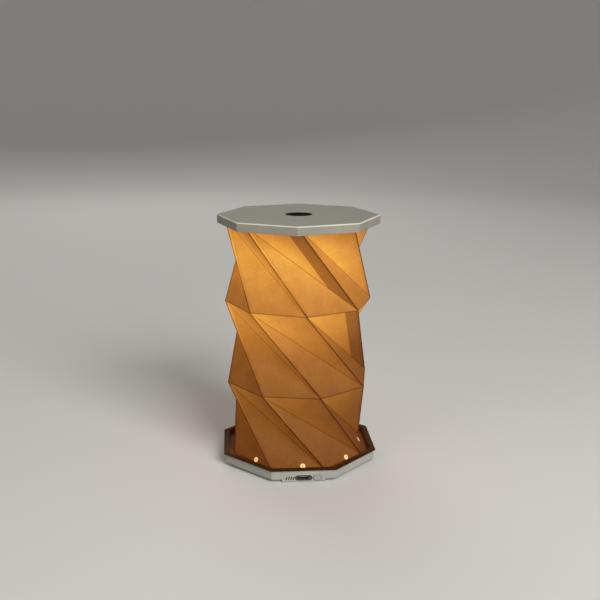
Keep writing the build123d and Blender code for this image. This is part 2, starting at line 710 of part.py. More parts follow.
def battery_cell():
    bottom = FLOOR_TOP + BATTERY_PAD
    half_x, half_y = BATTERY_LENGTH / 2, BATTERY_WIDTH / 2
    cell = block(
        (-half_x, half_x),
        (BATTERY_CENTRE_Y - half_y, BATTERY_CENTRE_Y + half_y),
        (bottom, bottom + BATTERY_THICKNESS),
    )
    return fillet(cell.edges().filter_by(Axis.Y), BATTERY_EDGE)


def battery_pad():
    half_x = BATTERY_LENGTH / 2 - BATTERY_PAD_INSET
    half_y = BATTERY_WIDTH / 2 - BATTERY_PAD_INSET
    return block(
        (-half_x, half_x),
        (BATTERY_CENTRE_Y - half_y, BATTERY_CENTRE_Y + half_y),
        (FLOOR_TOP, FLOOR_TOP + BATTERY_PAD),
    )


def control_board():
    half = BOARD_WIDTH / 2
    board = block((-half, half), (BOARD_Y, BOARD_BACK), (BOARD_BOTTOM, BOARD_TOP))
    notch = USB_WIDTH / 2 + BOARD_NOTCH_GAP
    notch_back = RECESS_Y + USB_LENGTH + BOARD_NOTCH_GAP
    board -= block((-notch, notch), (BOARD_Y, notch_back), (BOARD_BOTTOM, BOARD_TOP))
    middle = (notch_back + BOARD_BACK) / 2
    chip_z = (BOARD_TOP, BOARD_TOP + CHIP_HEIGHT)
    for x, size in ((0, CHIP_SIZE), (SMALL_CHIP_X, SMALL_CHIP_SIZE)):
        board += block((x - size / 2, x + size / 2), (middle - size / 2, middle + size / 2), chip_z)
    board += drum(COIL_DIAMETER, BOARD_TOP, BOARD_TOP + COIL_HEIGHT, (BUTTON_X, middle))
    for x in (BATTERY_PLUG_X, LED_PLUG_X):
        board += block(
            (x - PLUG_WIDTH / 2, x + PLUG_WIDTH / 2),
            (BOARD_BACK - PLUG_DEPTH, BOARD_BACK),
            (BOARD_TOP, BOARD_TOP + PLUG_HEIGHT),
        )
    return board


def usb_shell():
    outside = SlotOverall(USB_WIDTH, USB_HEIGHT)
    inside = SlotOverall(USB_WIDTH - 2 * USB_WALL, USB_HEIGHT - 2 * USB_WALL)
    back = RECESS_Y + USB_LENGTH
    shell = front_bar(outside, 0, (RECESS_Y, back), PORT_Z)
    return shell - front_bar(inside, 0, (RECESS_Y, back - USB_WALL), PORT_Z)


def port_bezel():
    """The dark trim on the floor of the recess, round the mouth of the socket."""
    outside = SlotOverall(PORT_RECESS_WIDTH - 2 * FIT, PORT_RECESS_HEIGHT - 2 * FIT)
    inside = SlotOverall(USB_WIDTH - 2 * USB_WALL, USB_HEIGHT - 2 * USB_WALL)
    y = (RECESS_Y - BEZEL_THICKNESS, RECESS_Y)
    return front_bar(outside, 0, y, PORT_Z) - front_bar(inside, 0, y, PORT_Z)


def usb_tongue():
    back = RECESS_Y + USB_LENGTH - USB_WALL
    half = TONGUE_WIDTH / 2
    z = (PORT_Z - TONGUE_HEIGHT / 2, PORT_Z + TONGUE_HEIGHT / 2)
    return block((-half, half), (back - TONGUE_LENGTH, back), z)


def tact_switch():
    half = SWITCH_WIDTH / 2
    front = PLUNGER_Y + PLUNGER_LENGTH
    body = block(
        (BUTTON_X - half, BUTTON_X + half),
        (front, front + SWITCH_DEPTH),
        (BOARD_TOP, BOARD_TOP + SWITCH_HEIGHT),
    )
    middle = BOARD_TOP + SWITCH_HEIGHT / 2
    plunger = block(
        (BUTTON_X - PLUNGER_WIDTH / 2, BUTTON_X + PLUNGER_WIDTH / 2),
        (PLUNGER_Y, front),
        (middle - PLUNGER_HEIGHT / 2, middle + PLUNGER_HEIGHT / 2),
    )
    return body + plunger


def power_button():
    front = FACE_Y - BUTTON_PROUD
    flange_back = BUTTON_FLANGE_Y + BUTTON_FLANGE
    cap = front_bar(SlotOverall(BUTTON_WIDTH, BUTTON_HEIGHT), BUTTON_X, (front, flange_back), PORT_Z)
    cap = fillet(cap.faces().sort_by(Axis.Y)[0].edges(), BUTTON_EDGE)
    flange = SlotOverall(BUTTON_FLANGE_WIDTH, BUTTON_HEIGHT)
    button = cap + front_bar(flange, BUTTON_X, (BUTTON_FLANGE_Y, flange_back), PORT_Z)
    middle = BOARD_TOP + SWITCH_HEIGHT / 2
    pusher = block(
        (BUTTON_X - PUSHER_WIDTH / 2, BUTTON_X + PUSHER_WIDTH / 2),
        (flange_back, PUSHER_END),
        (middle - PUSHER_HEIGHT / 2, middle + PUSHER_HEIGHT / 2),
    )
    return button + pusher


def light_guide():
    plate = block(
        (LIGHT_X - LIGHT_PLATE_WIDTH / 2, LIGHT_X + LIGHT_PLATE_WIDTH / 2),
        (WALL_Y, WALL_Y + LIGHT_PLATE_THICKNESS),
        (PORT_Z - LIGHT_PLATE_HEIGHT / 2, PORT_Z + LIGHT_PLATE_HEIGHT / 2),
    )
    for bar in light_bars(LIGHT_BAR_WIDTH, LIGHT_BAR_LENGTH, (FACE_Y + FIT, WALL_Y)):
        plate += bar
    return plate


def wire(points):
    """A round wire along straight runs that tangent arcs join, each arc as large as its runs allow.
    Returns the solid and the arcs' radii."""
    points = [Vector(*p) for p in points]
    runs = [b - a for a, b in zip(points, points[1:])]
    radii = []
    for one, other in zip(runs, runs[1:]):
        half_turn = math.radians(one.get_angle(other)) / 2
        radii.append(0.45 * min(one.length, other.length) / math.tan(half_turn))
    path = FilletPolyline(*points, radius=radii)
    start = Plane(origin=points[0], z_dir=runs[0])
    return sweep(start * Circle(WIRE_DIAMETER / 2), path=path), radii


def lead_pair(routes):
    solids = []
    for route in routes:
        solid, radii = wire(route)
        print("wire radii", [round(r, 1) for r in radii])
        solids.append(solid)
    return solids


def battery_leads():
    """Two wires from the front edge of the cell to their plug on the control board."""
    start_y = BATTERY_CENTRE_Y - BATTERY_WIDTH / 2
    way = BOARD_BACK - start_y
    first, second, third = [start_y + way * share for share in BATTERY_LEAD_RUNS]
    cell_z = FLOOR_TOP + BATTERY_PAD + BATTERY_THICKNESS / 2
    plug_z = BOARD_TOP + PLUG_HEIGHT / 2
    routes = []
    for side in (-1, 1):
        aside = side * WIRE_PITCH / 2
        start_x, end_x = BATTERY_LEAD_X + aside, BATTERY_PLUG_X + aside
        between_x = end_x + (start_x - end_x) * BATTERY_LEAD_SIDE
        routes.append(
            [
                (start_x, start_y, cell_z),
                (start_x, first, cell_z),
                (between_x, second, (cell_z + plug_z) / 2),
                (end_x, third, plug_z),
                (end_x, BOARD_BACK, plug_z),
            ]
        )
    return lead_pair(routes)


def led_leads():
    """Two wires from the control board to the plug under the light board."""
    low_z = BOARD_TOP + PLUG_HEIGHT / 2
    high_z = LED_BOARD_BOTTOM - PLUG_HEIGHT / 2
    way = LED_PLUG_Y - BOARD_BACK
    first, second = [BOARD_BACK + way * share for share in LED_LEAD_RUNS]
    routes = []
    for side in (-1, 1):
        x = LED_PLUG_X + side * WIRE_PITCH / 2
        routes.append(
            [
                (x, BOARD_BACK, low_z),
                (x, first, low_z),
                (x, second, high_z),
                (x, LED_PLUG_Y, high_z),
            ]
        )
    return lead_pair(routes)


# Lid

def lid_shell():
    lid = octagon_prism(LID_ACROSS, LID_TURN, SKIRT_BOTTOM, LID_TOP)
    lid = fillet(lid.edges().filter_by(Axis.Z), LID_CORNER)
    lid = fillet(lid.faces().sort_by(Axis.Z)[0].edges(), LID_LOWER_EDGE)
    lid = chamfer(lid.faces().sort_by(Axis.Z)[-1].edges(), LID_UPPER_EDGE)
    lid -= octagon_prism(LID_ACROSS - 2 * LID_WALL, LID_TURN, SKIRT_BOTTOM, CEILING)
    disc_bottom = LID_TOP - LID_DISC_HEIGHT - FIT
    boss_diameter = LID_DISC_DIAMETER + 2 * LID_BOSS_WALL
    lid += drum(boss_diameter, disc_bottom - LID_BOSS_FLOOR, CEILING)
    rib_reach = CLAMP_BORE / 2 - CLAMP_PAD_DIAMETER
    for k in range(SIDES):
        rib = block(
            (boss_diameter / 2 - LID_RIB, rib_reach),
            (-LID_RIB / 2, LID_RIB / 2),
            (CEILING - LID_RIB_HEIGHT, CEILING),
        )
        lid += Rot(0, 0, LID_TURN - 90 + SIDE_ANGLE * k) * rib
    for centre in CLAMP_SCREW_SPOTS:
        lid += drum(CLAMP_PAD_DIAMETER, CEILING - PAPER, CEILING, centre)
    lid -= drum(LID_DISC_DIAMETER + 2 * HOLE_GAP, disc_bottom, LID_TOP)
    screw_tip = CEILING - PAPER - CLAMP_THICKNESS + CLAMP_SCREW_LENGTH
    for centre in CLAMP_SCREW_SPOTS:
        lid -= drum(
            CLAMP_SCREW_DIAMETER + 2 * HOLE_GAP, CEILING - PAPER, screw_tip + FIT, centre
        )
    return lid


def lid_disc():
    disc_bottom = LID_TOP - LID_DISC_HEIGHT - FIT
    disc = drum(LID_DISC_DIAMETER, disc_bottom, disc_bottom + LID_DISC_HEIGHT)
    return chamfer(disc.edges().filter_by(GeomType.CIRCLE), LID_DISC_EDGE)


def lid_clamp_ring():
    """Presses the upper collar of the paper to the lid. It stays inside the leaning top facets."""
    top = CEILING - PAPER
    bottom = top - CLAMP_THICKNESS
    drawn_in = (PAPER + CLAMP_THICKNESS) * math.tan(math.radians(TOP_LEAN))
    drawn_in += leaning(PAPER + PAPER_GAP, TOP_LEAN)
    across = 2 * (SHADE_RADIUS / TO_CORNER - drawn_in)
    ring = octagon_prism(across, LID_TURN, bottom, top)
    ring -= octagon_prism(CLAMP_BORE, LID_TURN, bottom, top)
    for centre in CLAMP_SCREW_SPOTS:
        ring -= drum(CLAMP_SCREW_DIAMETER + 2 * HOLE_GAP, bottom, top, centre)
    return ring


def lid_screws():
    head_foot = CEILING - PAPER - CLAMP_THICKNESS - CLAMP_SCREW_HEAD_HEIGHT
    length = CLAMP_SCREW_HEAD_HEIGHT + CLAMP_SCREW_LENGTH
    return [
        screw(
            CLAMP_SCREW_DIAMETER,
            CLAMP_SCREW_HEAD,
            CLAMP_SCREW_HEAD_HEIGHT,
            length,
            head_foot,
            centre,
        )
        for centre in CLAMP_SCREW_SPOTS
    ]


PIECES = {
    "base_tray": base_tray,
    "rubber_feet": rubber_feet,
    "tray_screws": tray_screws,
    "deck_plate": deck_plate,
    "shade_foot_ring": shade_foot_ring,
    "foot_ring_screws": foot_ring_screws,
    "shade_eyelets": shade_eyelets,
    "diffuser": diffuser,
    "led_board": led_board,
    "led_chips": led_chips,
    "base_magnet": base_magnet,
    "battery_cell": battery_cell,
    "battery_pad": battery_pad,
    "control_board": control_board,
    "usb_shell": usb_shell,
    "port_bezel": port_bezel,
    "usb_tongue": usb_tongue,
    "tact_switch": tact_switch,
    "light_guide": light_guide,
    "battery_leads": battery_leads,
    "led_leads": led_leads,
    "power_button": power_button,
    "paper_shade": paper_shade,
    "lid_shell": lid_shell,
    "lid_disc": lid_disc,
    "lid_clamp_ring": lid_clamp_ring,
    "lid_screws": lid_screws,
}

os.makedirs("parts", exist_ok=True)
for name, make in PIECES.items():
    made = make()
    group = made if isinstance(made, list) else [made]
    solids = [solid for shape in group for solid in shape.solids()]
    export_step(Compound(children=solids), f"parts/{name}.step")

print("lid travel", round(LID_TRAVEL, 3), "closing turn", round(CLOSING_TURN, 3))
print("height", round(LID_TOP, 3), "foot lean", round(FOOT_LEAN, 2), "top lean", round(TOP_LEAN, 2))
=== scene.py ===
import math

import bmesh
import bpy
from mathutils import Euler, Matrix, Vector


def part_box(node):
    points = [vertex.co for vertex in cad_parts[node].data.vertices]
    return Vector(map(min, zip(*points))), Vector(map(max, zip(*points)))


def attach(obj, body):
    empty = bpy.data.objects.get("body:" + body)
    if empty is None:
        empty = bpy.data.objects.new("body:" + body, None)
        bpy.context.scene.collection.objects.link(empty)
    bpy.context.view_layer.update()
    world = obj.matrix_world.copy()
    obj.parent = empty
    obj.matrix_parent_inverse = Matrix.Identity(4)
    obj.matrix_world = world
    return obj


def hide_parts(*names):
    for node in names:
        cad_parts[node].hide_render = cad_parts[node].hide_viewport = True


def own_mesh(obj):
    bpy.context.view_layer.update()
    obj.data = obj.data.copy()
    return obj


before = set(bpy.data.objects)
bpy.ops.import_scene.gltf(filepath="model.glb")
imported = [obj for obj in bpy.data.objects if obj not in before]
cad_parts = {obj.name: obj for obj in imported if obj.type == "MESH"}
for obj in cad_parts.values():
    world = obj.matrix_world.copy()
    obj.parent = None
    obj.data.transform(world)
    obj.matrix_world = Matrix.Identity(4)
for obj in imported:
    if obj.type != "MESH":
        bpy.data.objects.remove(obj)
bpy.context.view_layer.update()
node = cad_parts

# What the camera sees: the lamp from the front and a little to its left, from above the lid.
CAMERA_PLACE = (-0.0532, -0.6926, 0.3006)
CAMERA_HEADING = math.radians(-4.503)
CAMERA_PITCH = math.radians(-13.707)
CAMERA_ROLL = math.radians(0.224)
CAMERA_LENS = 52.92
SENSOR = 36.0
NEAREST_SEEN = 0.01

lens = bpy.data.cameras.new("camera")
lens.sensor_fit = "HORIZONTAL"
lens.sensor_width = SENSOR
lens.lens = CAMERA_LENS
lens.clip_start = NEAREST_SEEN
camera = bpy.data.objects.new("camera", lens)
camera.location = CAMERA_PLACE
camera.rotation_euler = (
    Euler((math.radians(90) + CAMERA_PITCH, 0, CAMERA_HEADING)).to_matrix()
    @ Matrix.Rotation(CAMERA_ROLL, 3, "Z")
).to_euler()
bpy.context.scene.collection.objects.link(camera)
bpy.context.scene.camera = camera


# Base tray: an octagonal tray moulded in warm grey plastic, with a fine matt texture from its mould.
# The block round the charging socket is moulded with it at the front.
TRAY_COLOUR = (0.47, 0.46, 0.41)
MOULD_GRAIN = {"size": 0.00035, "depth": 0.00002}
MOULD_MOTTLE = {"size": 0.018, "amount": 0.06}
MOULD_ROUGHNESS = {"size": 0.018, "low": 0.44, "high": 0.58}
NOISE_RANGE = (0.3, 0.7)


def new_material(name, colour, roughness, **sockets):
    """A material with its plain values set on the shader's own sockets."""
    material = bpy.data.materials.new(name)
    material.use_nodes = True
    shader = material.node_tree.nodes["Principled BSDF"]
    shader.inputs["Base Color"].default_value = (*colour, 1)
    shader.inputs["Roughness"].default_value = roughness
    for socket, value in sockets.items():
        shader.inputs[socket.replace("_", " ")].default_value = value
    return material


def add(material, kind, settings=None, **inputs):
    """A new node; each input is a value, or another node's output socket."""
    made = material.node_tree.nodes.new(kind)
    for name, value in (settings or {}).items():
        setattr(made, name, value)
    for name, value in inputs.items():
        socket = made.inputs[int(name[1:])] if name[0] == "i" and name[1:].isdigit() else made.inputs[name]
        if isinstance(value, bpy.types.NodeSocket):
            material.node_tree.links.new(value, socket)
        else:
            socket.default_value = value
    return made


def shader_of(material):
    return material.node_tree.nodes["Principled BSDF"]


def feed(material, output, socket):
    material.node_tree.links.new(output, shader_of(material).inputs[socket])


def object_place(material):
    return add(material, "ShaderNodeTexCoord").outputs["Object"]


def noise(material, size, detail=3.0):
    """Noise whose largest spots are about that size, in metres."""
    made = add(material, "ShaderNodeTexNoise", Vector=object_place(material))
    made.inputs["Scale"].default_value = 1 / size
    made.inputs["Detail"].default_value = detail
    return made.outputs["Fac"]


def spread(material, value, reach, ends, easing="SMOOTHSTEP"):
    """A value that goes from one end to the other while the given value crosses its reach."""
    step = add(material, "ShaderNodeMapRange", {"interpolation_type": easing}, Value=value)
    step.inputs["From Min"].default_value, step.inputs["From Max"].default_value = reach
    step.inputs["To Min"].default_value, step.inputs["To Max"].default_value = ends
    return step.outputs["Result"]


def wander(material, size, ends):
    """A value that wanders between two ends, in spots of that size."""
    return spread(material, noise(material, size), NOISE_RANGE, ends, "LINEAR")


def scaled(material, colour, factor):
    """A colour made darker or lighter by a factor."""
    return add(material, "ShaderNodeVectorMath", {"operation": "SCALE"}, i0=colour, Scale=factor).outputs["Vector"]


def mottle(material, colour, size, amount):
    """Uneven base colour: darker and lighter by the amount, in spots of that size."""
    tint = scaled(material, colour, wander(material, size, (1 - amount, 1 + amount)))
    feed(material, tint, "Base Color")
    return tint


def grain(material, size, depth):
    """A fine bump in spots of that size, that many metres deep."""
    bump = add(material, "ShaderNodeBump", Height=noise(material, size, detail=2.0))
    bump.inputs["Distance"].default_value = depth
    feed(material, bump.outputs["Normal"], "Normal")


def rough_spots(material, size, low, high):
    """Roughness that wanders between two values."""
    feed(material, wander(material, size, (low, high)), "Roughness")


def coat(name, material):
    """Puts a material on a CAD piece."""
    mesh = node[name].data
    mesh.materials.clear()
    mesh.materials.append(material)


def finish(name, pieces, colour, roughness, mottled, grained=None, roughened=None, **sockets):
    """A new material, with the unevenness it is given, on each of those CAD pieces."""
    material = new_material(name, colour, roughness, **sockets)
    mottle(material, colour, **mottled)
    if grained:
        grain(material, **grained)
    if roughened:
        rough_spots(material, **roughened)
    for piece in pieces:
        coat(piece, material)
    return material


finish(
    "tray_plastic",
    ["base_tray"],
    TRAY_COLOUR,
    roughness=0.5,
    mottled=MOULD_MOTTLE,
    grained=MOULD_GRAIN,
    roughened=MOULD_ROUGHNESS,
    Specular_IOR_Level=0.12,
)


# Rubber feet and the screws above them: round feet of soft black rubber pressed into sockets in the
# tray's underside, over the heads of the steel screws that hold tray and deck together.
RUBBER_COLOUR = (0.025, 0.025, 0.026)
STEEL_COLOUR = (0.56, 0.56, 0.55)

finish(
    "foot_rubber",
    ["rubber_feet"],
    RUBBER_COLOUR,
    roughness=0.8,
    mottled={"size": 0.004, "amount": 0.25},
    grained={"size": 0.0005, "depth": 0.00004},
)
screw_steel = finish(
    "screw_steel",
    ["tray_screws"],
    STEEL_COLOUR,
    roughness=0.3,
    mottled={"size": 0.001, "amount": 0.12},
    roughened={"size": 0.0008, "low": 0.22, "high": 0.4},
    Metallic=1.0,
)


# Rechargeable cell: a flat cell in a silver pouch on foam tape, between the tray's ribs. Its two
# leads, red and black, run to the control board, and so do the two of the light board.
POUCH_COLOUR = (0.6, 0.61, 0.62)
FOAM_COLOUR = (0.05, 0.05, 0.05)
LEAD_RED = (0.5, 0.03, 0.02)
LEAD_BLACK = (0.02, 0.02, 0.02)

finish(
    "cell_pouch",
    ["battery_cell"],
    POUCH_COLOUR,
    roughness=0.35,
    mottled={"size": 0.006, "amount": 0.08},
    grained={"size": 0.004, "depth": 0.00008},
    Metallic=0.9,
)
finish(
    "foam_tape",
    ["battery_pad"],
    FOAM_COLOUR,
    roughness=0.95,
    mottled={"size": 0.0012, "amount": 0.3},
    grained={"size": 0.0008, "depth": 0.0001},
)


def reckon(material, operation, *values):
    """The result of one sum, such as MULTIPLY, on numbers or outputs."""
    numbered = {f"i{number}": value for number, value in enumerate(values)}
    return add(material, "ShaderNodeMath", {"operation": operation}, **numbered).outputs["Value"]


def mixed(material, factor, first, second):
    """The first colour where the factor is 0, the second where it is 1."""
    mix = add(material, "ShaderNodeMix", {"data_type": "RGBA"}, Factor=factor)
    mix.inputs["A"].default_value = (*first, 1)
    mix.inputs["B"].default_value = (*second, 1)
    return mix.outputs["Result"]


def lead_pair_material(name, split):
    """Red insulation to the left of the split, black to the right."""
    material = new_material(name, LEAD_RED, roughness=0.35)
    place = add(material, "ShaderNodeSeparateXYZ", Vector=object_place(material))
    side = reckon(material, "GREATER_THAN", place.outputs["X"], split)
    feed(material, mixed(material, side, LEAD_RED, LEAD_BLACK), "Base Color")
    grain(material, size=0.0006, depth=0.00002)
    return material


for leads in ("battery_leads", "led_leads"):
    low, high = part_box(leads)
    coat(leads, lead_pair_material(leads + "_insulation", (low.x + high.x) / 2))


# Control board: a small green circuit board on rests in the tray, with its chips, coil and plugs.
# The light board has the same finish. A black push switch stands at the control board's front edge.
BOARD_GREEN = (0.02, 0.12, 0.05)
TRACE_GREEN = (0.035, 0.2, 0.09)
SWITCH_BLACK = (0.02, 0.02, 0.022)
# The brick pattern of the traces. Its width is in the pattern's own units.
TRACE_SCALE = 160
TRACE_WIDTH = 0.06
TRACE_STAGGER = 0.35

circuit_board = new_material("circuit_board", BOARD_GREEN, roughness=0.35)
traces = add(circuit_board, "ShaderNodeTexBrick", {"offset": TRACE_STAGGER}, Vector=object_place(circuit_board))
traces.inputs["Scale"].default_value = TRACE_SCALE
traces.inputs["Mortar Size"].default_value = TRACE_WIDTH
traces.inputs["Color1"].default_value = (*BOARD_GREEN, 1)
traces.inputs["Color2"].default_value = (*BOARD_GREEN, 1)
traces.inputs["Mortar"].default_value = (*TRACE_GREEN, 1)
feed(circuit_board, traces.outputs["Color"], "Base Color")
rough_spots(circuit_board, size=0.003, low=0.28, high=0.45)
for board in ("control_board", "led_board"):
    coat(board, circuit_board)

finish(
    "switch_plastic",
    ["tact_switch"],
    SWITCH_BLACK,
    roughness=0.4,
    mottled={"size": 0.001, "amount": 0.2},
    grained={"size": 0.0004, "depth": 0.00002},
)


# Charging socket: a drawn shell of nickel-plated steel in a notch of the board, open to the recess at
# the front, with a grey tongue in it. A dark bezel lies on the floor of the recess, round its mouth.
SHELL_COLOUR = (0.5, 0.48, 0.45)
TONGUE_COLOUR = (0.34, 0.33, 0.29)
BEZEL_COLOUR = (0.055, 0.053, 0.046)

finish(
    "socket_shell",
    ["usb_shell"],
    SHELL_COLOUR,
    roughness=0.28,
    mottled={"size": 0.0015, "amount": 0.15},
    roughened={"size": 0.001, "low": 0.2, "high": 0.38},
    Metallic=1.0,
)
finish("tongue_plastic", ["usb_tongue"], TONGUE_COLOUR, roughness=0.45, mottled={"size": 0.001, "amount": 0.2})
finish("bezel_plastic", ["port_bezel"], BEZEL_COLOUR, roughness=0.5, mottled={"size": 0.001, "amount": 0.2})


# Charge light and push button: a smoked insert whose slanted bars come through the front, and a
# small stadium-shaped button in grey plastic, moulded with the tray's texture.
GUIDE_COLOUR = (0.075, 0.073, 0.07)
BUTTON_COLOUR = (0.4, 0.395, 0.36)

finish("guide_plastic", ["light_guide"], GUIDE_COLOUR, roughness=0.22, mottled={"size": 0.0012, "amount": 0.15})
finish(
    "button_plastic",
    ["power_button"],
    BUTTON_COLOUR,
    roughness=0.42,
    mottled={"size": 0.003, "amount": 0.05},
    grained=MOULD_GRAIN,
)


# Deck: the top of the base, moulded in dull dark brown plastic. Its stepped border stands out over the
# tray, and the foot of the shade sits in a channel inside that border, which the shade lights up.
DECK_COLOUR = (0.085, 0.032, 0.009)
# The channel's warmer brown below CHANNEL_TOP is painted light from the shade's glow.
CHANNEL_GLOW_COLOUR = (0.24, 0.085, 0.014)
CHANNEL_TOP = 0.0104
CHANNEL_FADE = 0.0004
# Faces that face away from the lamp's axis are painted darker, as shade.
DECK_EDGE_SHADE_TONE = 0.2
DECK_EDGE_SHADE_FACING = (0.3, 0.8)


def outward(material):
    """How squarely a point's surface faces away from the lamp's axis, from -1 to 1."""
    flat = add(material, "ShaderNodeVectorMath", {"operation": "MULTIPLY"}, i0=object_place(material), i1=(1, 1, 0))
    away = add(material, "ShaderNodeVectorMath", {"operation": "NORMALIZE"}, i0=flat.outputs["Vector"])
    facing = add(material, "ShaderNodeTexCoord").outputs["Normal"]
    dot = add(material, "ShaderNodeVectorMath", {"operation": "DOT_PRODUCT"}, i0=away.outputs["Vector"], i1=facing)
    return dot.outputs["Value"]


deck_plastic = new_material("deck_plastic", DECK_COLOUR, roughness=0.3, Specular_IOR_Level=0.01)
height = add(deck_plastic, "ShaderNodeSeparateXYZ", Vector=object_place(deck_plastic)).outputs["Z"]
above_channel = spread(deck_plastic, height, (CHANNEL_TOP - CHANNEL_FADE, CHANNEL_TOP), (0, 1))
brown_and_painted_glow = mixed(deck_plastic, above_channel, CHANNEL_GLOW_COLOUR, DECK_COLOUR)
painted_edge_shade = spread(deck_plastic, outward(deck_plastic), DECK_EDGE_SHADE_FACING, (1, DECK_EDGE_SHADE_TONE))
feed(deck_plastic, scaled(deck_plastic, brown_and_painted_glow, painted_edge_shade), "Base Color")
rough_spots(deck_plastic, size=0.01, low=0.24, high=0.38)
coat("deck_plate", deck_plastic)


# Light: a round board with a ring of warm LEDs under a low frosted dome. The magnet in its middle
# holds the lid's steel disc when the lamp is closed.
LED_COLOUR = (1.0, 0.72, 0.36)
LED_STRENGTH = 6.0
DOME_COLOUR = (0.85, 0.76, 0.6)
DOME_STRENGTH = 1.2


def light_up(material, colour, strength):
    shader_of(material).inputs["Emission Color"].default_value = (*colour, 1)
    shader_of(material).inputs["Emission Strength"].default_value = strength


led_phosphor = finish(
    "led_phosphor", ["led_chips"], LED_COLOUR, roughness=0.3, mottled={"size": 0.001, "amount": 0.1}
)
light_up(led_phosphor, LED_COLOUR, LED_STRENGTH)
finish(
    "magnet_nickel",
    ["base_magnet"],
    STEEL_COLOUR,
    roughness=0.18,
    mottled={"size": 0.002, "amount": 0.06},
    roughened={"size": 0.002, "low": 0.14, "high": 0.26},
    Metallic=1.0,
)
frosted_dome = finish(
    "frosted_dome",
    ["diffuser"],
    DOME_COLOUR,
    roughness=0.6,
    mottled={"size": 0.006, "amount": 0.05},
    grained={"size": 0.0006, "depth": 0.00003},
)
light_up(frosted_dome, LED_COLOUR, DOME_STRENGTH)


# Foot ring: a sloping ring of black plastic inside the foot of the shade. Four screws from below
# pull it down on the paper's collar.
RING_COLOUR = (0.03, 0.028, 0.026)

ring_plastic = finish(
    "ring_plastic",
    ["shade_foot_ring"],
    RING_COLOUR,
    roughness=0.55,
    mottled={"size": 0.008, "amount": 0.15},
    grained=MOULD_GRAIN,
)
coat("foot_ring_screws", screw_steel)


# Paper shade: one sheet of strong paper, creased into three storeys of eight ridge folds and eight
# valley folds, glued up its side and clamped by a narrow collar at each end. It is lit from inside,
# mostly from above, where the pale underside of the lid throws the light back down.
SIDES = 8
FOOT_RADIUS = 0.0563
SHADE_RADIUS = 0.0593
FOOT_TURN = 17.6
STOREYS = ((0.0599, 49.8), (0.0651, 55.9), (0.0674, 51.7))
COLLAR = 0.0049
PAPER = 0.0004
FACET_CUTS = 27
SEAM_WIDTH = 0.011
SEAM_RIDGE_TOPS = (102.8, 46.9, -4.8)
NO_FOLD = 1.0
CREST_FADE = 0.1

FOOT_GLOW = 0.19
GLOW_STEPS_UP = ((0.045, 0.20), (0.088, 0.32), (0.125, 0.565), (0.168, 0.77), (0.2, 0.48))
STANDING_LOSS = 0.22
STANDING_GAIN = 0.16
HANGING_GAIN = 14.0
HANGING_LOSS = 0.2
FLANK_AZIMUTH = 10.0
FLANK_LOSS = (0.38, 0.14)


def azimuth(point):
    """Degrees round the lamp from its front, towards +X."""
    return math.degrees(math.atan2(point.x, -point.y))


def turned(verts, degrees):
    bmesh.ops.rotate(shade, verts=verts, cent=(0, 0, 0), matrix=Matrix.Rotation(math.radians(degrees), 3, "Z"))


foot_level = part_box("paper_shade")[0].z
shade = bmesh.new()
ring = bmesh.ops.create_circle(shade, segments=SIDES, radius=FOOT_RADIUS)["verts"]
bmesh.ops.translate(shade, verts=ring, vec=(0, 0, foot_level))
turned(ring, FOOT_TURN)
foot_edges = list(shade.edges)
ring_edges = foot_edges
ring_radius = FOOT_RADIUS
for height, twist in STOREYS:
    raised = bmesh.ops.extrude_edge_only(shade, edges=ring_edges)["geom"]
    ring = [part for part in raised if isinstance(part, bmesh.types.BMVert)]
    walls = [part for part in raised if isinstance(part, bmesh.types.BMFace)]
    ring_edges = [
        part for part in raised if isinstance(part, bmesh.types.BMEdge) and all(end in ring for end in part.verts)
    ]
    bmesh.ops.translate(shade, verts=ring, vec=(0, 0, height))
    turned(ring, -twist)
    bmesh.ops.scale(shade, verts=ring, vec=(SHADE_RADIUS / ring_radius, SHADE_RADIUS / ring_radius, 1))
    ring_radius = SHADE_RADIUS
    for wall in walls:
        across = [
            (low, high)
            for low in wall.verts
            for high in wall.verts
            if low not in ring and high in ring and not shade.edges.get((low, high))
        ]
        valley = max(across, key=lambda ends: (ends[0].co - ends[1].co).length)
        bmesh.ops.connect_vert_pair(shade, verts=valley)

# Each facet is a triangle with one ridge fold, one valley fold and one level fold. It keeps the two
# ends of each, so that every point on it knows how far off its folds are.
bmesh.ops.recalc_face_normals(shade, faces=shade.faces)
facet_of = shade.faces.layers.int.new("facet")
level_folds = [foot_level + sum(height for height, twist in STOREYS[:count]) for count in (1, 2)]
facets = []
for face in shade.faces:
    edges = sorted(face.edges, key=lambda edge: edge.calc_length())
    level = next(edge for edge in edges if abs(edge.verts[0].co.z - edge.verts[1].co.z) < PAPER)
    ridge, valley = [edge for edge in edges if edge is not level]
    top_end = max(ridge.verts, key=lambda end: end.co.z).co
    storey = sum(top_end.z > fold + PAPER for fold in level_folds)
    hangs = level.verts[0].co.z > face.calc_center_median().z
    by_seam = abs(azimuth(top_end) - SEAM_RIDGE_TOPS[storey]) < 360 / SIDES / 2
    facets.append(
        {
            "folds": [[end.co.copy() for end in edge.verts] for edge in (ridge, valley, level)],
            "hangs": hangs,
            "faces": azimuth(face.normal),
            "seam": hangs and by_seam,
            "span": sorted(end.co.z for end in ridge.verts),
        }
    )
    face[facet_of] = len(facets)

for edges in (foot_edges, ring_edges):
    flap = bmesh.ops.extrude_edge_only(shade, edges=edges)["geom"]
    rim = [part for part in flap if isinstance(part, bmesh.types.BMVert)]
    shrink = 1 - COLLAR / (rim[0].co.xy.length * math.cos(math.pi / SIDES))
    bmesh.ops.scale(shade, verts=rim, vec=(shrink, shrink, 1))
    for part in flap:
        if isinstance(part, bmesh.types.BMFace):
            part[facet_of] = 0
facet_edges = [edge for edge in shade.edges if any(face[facet_of] for face in edge.link_faces)]
bmesh.ops.subdivide_edges(shade, edges=facet_edges, cuts=FACET_CUTS, use_grid_fill=True)
bmesh.ops.triangulate(shade, faces=[face for face in shade.faces if len(face.verts) > 4])

# How brightly each point of the paper is lit from behind. Most light comes from under the lid and is
# thrown back down, so that the glow grows with height and falls again in the lid's shadow.


